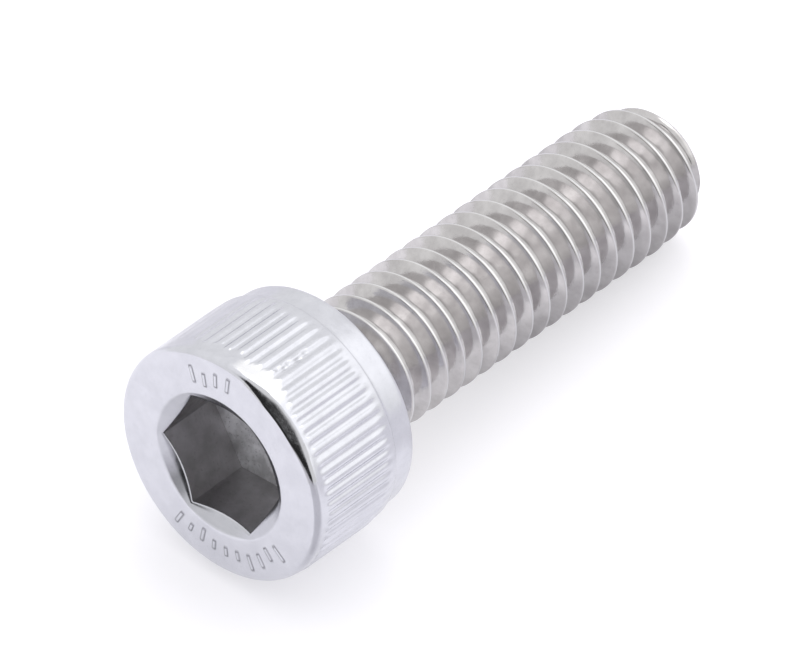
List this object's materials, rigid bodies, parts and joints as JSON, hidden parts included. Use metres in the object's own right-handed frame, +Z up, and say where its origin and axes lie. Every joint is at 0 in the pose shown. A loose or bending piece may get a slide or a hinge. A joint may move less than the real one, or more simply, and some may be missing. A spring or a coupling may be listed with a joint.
{
  "type": "hex socket cap screw",
  "caption": "Stainless cap screw with a knurled cylindrical head, a hexagon socket and a right-hand metric thread along its whole shank.",
  "frame": {"origin": "middle of the bounding box's bottom, on the ground that the screw lies on", "axes": "+Z up; the screw lies on its side with its head towards -X and its tip towards +X; its own axis is in the XZ plane and dips 6.4 degrees towards the tip"},
  "size_m": [0.0264, 0.0102, 0.0105],
  "materials": {
    "stainless": "bright cold-formed stainless steel, lightly tumbled, with rolled thread and knurl"
  },
  "bodies": {
    "root": {"cap_screw": "stainless"}
  },
  "joints": []
}
